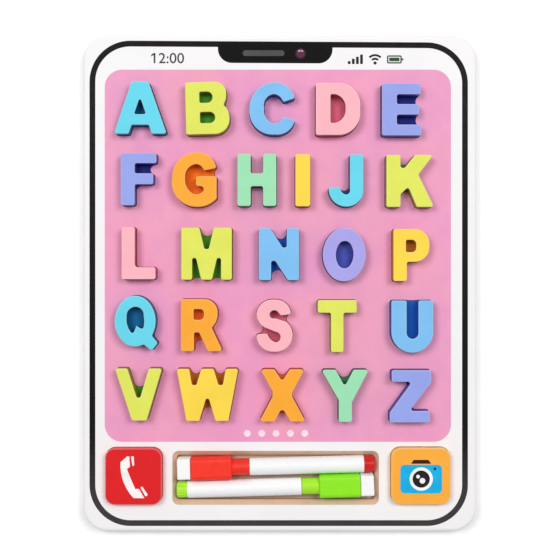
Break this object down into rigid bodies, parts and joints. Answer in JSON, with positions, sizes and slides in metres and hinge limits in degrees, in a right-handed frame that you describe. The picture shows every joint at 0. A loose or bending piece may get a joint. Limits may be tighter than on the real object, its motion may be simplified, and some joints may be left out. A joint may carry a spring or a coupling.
{
  "type": "wooden alphabet puzzle tablet",
  "caption": "Tablet-shaped wooden alphabet puzzle board with lift-out letter blocks, icon tiles and a pen tray holding dry-erase markers.",
  "frame": {"origin": "centre of the back face of the board, which is the underside of its bounding box as it lies face up", "axes": "+Z out of the printed face, +Y towards the top of the tablet where the camera notch is, +X to the right as it is read"},
  "size_m": [0.226, 0.285, 0.018],
  "materials": {
    "cyan_paint": "painted fibreboard block, satin paint with sharp sawn sides",
    "lime_paint": "painted fibreboard block, satin paint with sharp sawn sides",
    "blue_paint": "painted fibreboard block, satin paint with sharp sawn sides",
    "pink_paint": "painted fibreboard block, satin paint with sharp sawn sides",
    "periwinkle_paint": "painted fibreboard block, satin paint with sharp sawn sides",
    "orange_paint": "painted fibreboard block, satin paint with sharp sawn sides",
    "mint_paint": "painted fibreboard block, satin paint with sharp sawn sides",
    "yellow_paint": "painted fibreboard block, satin paint with sharp sawn sides",
    "lavender_paint": "painted fibreboard block, satin paint with sharp sawn sides",
    "red_tile_paint": "painted and printed fibreboard tile, satin",
    "orange_tile_paint": "painted and printed fibreboard tile, satin",
    "painted_board": "white painted fibreboard, satin, bare tan fibreboard in the pen tray",
    "back_board_paint": "white painted fibreboard, satin",
    "printed_film": "printed laminated film, soft gloss",
    "whiteboard_film": "dry-erase laminate, gloss",
    "barrel_plastic": "white moulded plastic",
    "red_plastic": "red moulded plastic",
    "green_plastic": "green moulded plastic",
    "lime_plastic": "lime moulded plastic",
    "holder_plastic": "natural moulded plastic",
    "red_nib_felt": "ink-soaked fibre",
    "green_nib_felt": "ink-soaked fibre",
    "eraser_felt": "pressed white felt"
  },
  "bodies": {
    "board": {"whiteboard_sheet": "whiteboard_film", "back_board": "back_board_paint", "front_board": "painted_board", "face_sheet": "printed_film"},
    "red_marker": {"red_marker_barrel": "barrel_plastic", "red_marker_end_plug": "red_plastic", "red_marker_nib_holder": "holder_plastic", "red_marker_nib": "red_nib_felt", "red_marker_ink_core": "red_nib_felt"},
    "red_marker_cap": {"red_marker_cap": "red_plastic", "red_marker_eraser_block": "red_plastic", "red_marker_eraser_felt": "eraser_felt"},
    "green_marker": {"green_marker_barrel": "barrel_plastic", "green_marker_end_plug": "lime_plastic", "green_marker_nib_holder": "holder_plastic", "green_marker_nib": "green_nib_felt", "green_marker_ink_core": "green_nib_felt"},
    "green_marker_cap": {"green_marker_cap": "lime_plastic", "green_marker_eraser_block": "green_plastic", "green_marker_eraser_felt": "eraser_felt"},
    "phone_tile": {"phone_tile": "red_tile_paint"},
    "camera_tile": {"camera_tile": "orange_tile_paint"},
    "letter_a": {"letter_a": "cyan_paint"},
    "letter_b": {"letter_b": "lime_paint"},
    "letter_c": {"letter_c": "blue_paint"},
    "letter_d": {"letter_d": "pink_paint"},
    "letter_e": {"letter_e": "periwinkle_paint"},
    "letter_f": {"letter_f": "periwinkle_paint"},
    "letter_g": {"letter_g": "orange_paint"},
    "letter_h": {"letter_h": "mint_paint"},
    "letter_i": {"letter_i": "yellow_paint"},
    "letter_j": {"letter_j": "cyan_paint"},
    "letter_k": {"letter_k": "lime_paint"},
    "letter_l": {"letter_l": "pink_paint"},
    "letter_m": {"letter_m": "lime_paint"},
    "letter_n": {"letter_n": "blue_paint"},
    "letter_o": {"letter_o": "lavender_paint"},
    "letter_p": {"letter_p": "yellow_paint"},
    "letter_q": {"letter_q": "cyan_paint"},
    "letter_r": {"letter_r": "orange_paint"},
    "letter_s": {"letter_s": "pink_paint"},
    "letter_t": {"letter_t": "lime_paint"},
    "letter_u": {"letter_u": "blue_paint"},
    "letter_v": {"letter_v": "lime_paint"},
    "letter_w": {"letter_w": "yellow_paint"},
    "letter_x": {"letter_x": "orange_paint"},
    "letter_y": {"letter_y": "mint_paint"},
    "letter_z": {"letter_z": "periwinkle_paint"}
  },
  "joints": [
    {"name": "red_marker_lift", "type": "slide", "parent": "board", "child": "red_marker", "axis": [0, 0, 1], "range_m": [0, 0.15]},
    {"name": "red_cap_pull", "type": "slide", "parent": "red_marker", "child": "red_marker_cap", "axis": [-0.9996, -0.0227, 0.0146], "range_m": [0, 0.018]},
    {"name": "green_marker_lift", "type": "slide", "parent": "board", "child": "green_marker", "axis": [0, 0, 1], "range_m": [0, 0.15]},
    {"name": "green_cap_pull", "type": "slide", "parent": "green_marker", "child": "green_marker_cap", "axis": [0.9995, 0.0297, 0.0146], "range_m": [0, 0.018]},
    {"name": "phone_tile_lift", "type": "slide", "parent": "board", "child": "phone_tile", "axis": [0, 0, 1], "range_m": [0, 0.04]},
    {"name": "camera_tile_lift", "type": "slide", "parent": "board", "child": "camera_tile", "axis": [0, 0, 1], "range_m": [0, 0.04]},
    {"name": "letter_a_lift", "type": "slide", "parent": "board", "child": "letter_a", "axis": [0, 0, 1], "range_m": [0, 0.04]},
    {"name": "letter_b_lift", "type": "slide", "parent": "board", "child": "letter_b", "axis": [0, 0, 1], "range_m": [0, 0.04]},
    {"name": "letter_c_lift", "type": "slide", "parent": "board", "child": "letter_c", "axis": [0, 0, 1], "range_m": [0, 0.04]},
    {"name": "letter_d_lift", "type": "slide", "parent": "board", "child": "letter_d", "axis": [0, 0, 1], "range_m": [0, 0.04]},
    {"name": "letter_e_lift", "type": "slide", "parent": "board", "child": "letter_e", "axis": [0, 0, 1], "range_m": [0, 0.04]},
    {"name": "letter_f_lift", "type": "slide", "parent": "board", "child": "letter_f", "axis": [0, 0, 1], "range_m": [0, 0.04]},
    {"name": "letter_g_lift", "type": "slide", "parent": "board", "child": "letter_g", "axis": [0, 0, 1], "range_m": [0, 0.04]},
    {"name": "letter_h_lift", "type": "slide", "parent": "board", "child": "letter_h", "axis": [0, 0, 1], "range_m": [0, 0.04]},
    {"name": "letter_i_lift", "type": "slide", "parent": "board", "child": "letter_i", "axis": [0, 0, 1], "range_m": [0, 0.04]},
    {"name": "letter_j_lift", "type": "slide", "parent": "board", "child": "letter_j", "axis": [0, 0, 1], "range_m": [0, 0.04]},
    {"name": "letter_k_lift", "type": "slide", "parent": "board", "child": "letter_k", "axis": [0, 0, 1], "range_m": [0, 0.04]},
    {"name": "letter_l_lift", "type": "slide", "parent": "board", "child": "letter_l", "axis": [0, 0, 1], "range_m": [0, 0.04]},
    {"name": "letter_m_lift", "type": "slide", "parent": "board", "child": "letter_m", "axis": [0, 0, 1], "range_m": [0, 0.04]},
    {"name": "letter_n_lift", "type": "slide", "parent": "board", "child": "letter_n", "axis": [0, 0, 1], "range_m": [0, 0.04]},
    {"name": "letter_o_lift", "type": "slide", "parent": "board", "child": "letter_o", "axis": [0, 0, 1], "range_m": [0, 0.04]},
    {"name": "letter_p_lift", "type": "slide", "parent": "board", "child": "letter_p", "axis": [0, 0, 1], "range_m": [0, 0.04]},
    {"name": "letter_q_lift", "type": "slide", "parent": "board", "child": "letter_q", "axis": [0, 0, 1], "range_m": [0, 0.04]},
    {"name": "letter_r_lift", "type": "slide", "parent": "board", "child": "letter_r", "axis": [0, 0, 1], "range_m": [0, 0.04]},
    {"name": "letter_s_lift", "type": "slide", "parent": "board", "child": "letter_s", "axis": [0, 0, 1], "range_m": [0, 0.04]},
    {"name": "letter_t_lift", "type": "slide", "parent": "board", "child": "letter_t", "axis": [0, 0, 1], "range_m": [0, 0.04]},
    {"name": "letter_u_lift", "type": "slide", "parent": "board", "child": "letter_u", "axis": [0, 0, 1], "range_m": [0, 0.04]},
    {"name": "letter_v_lift", "type": "slide", "parent": "board", "child": "letter_v", "axis": [0, 0, 1], "range_m": [0, 0.04]},
    {"name": "letter_w_lift", "type": "slide", "parent": "board", "child": "letter_w", "axis": [0, 0, 1], "range_m": [0, 0.04]},
    {"name": "letter_x_lift", "type": "slide", "parent": "board", "child": "letter_x", "axis": [0, 0, 1], "range_m": [0, 0.04]},
    {"name": "letter_y_lift", "type": "slide", "parent": "board", "child": "letter_y", "axis": [0, 0, 1], "range_m": [0, 0.04]},
    {"name": "letter_z_lift", "type": "slide", "parent": "board", "child": "letter_z", "axis": [0, 0, 1], "range_m": [0, 0.04]}
  ],
  "couplings": [
    {"joint": "red_cap_pull", "follows": "red_marker_lift", "ratio": 0.12},
    {"joint": "green_cap_pull", "follows": "green_marker_lift", "ratio": 0.12}
  ]
}
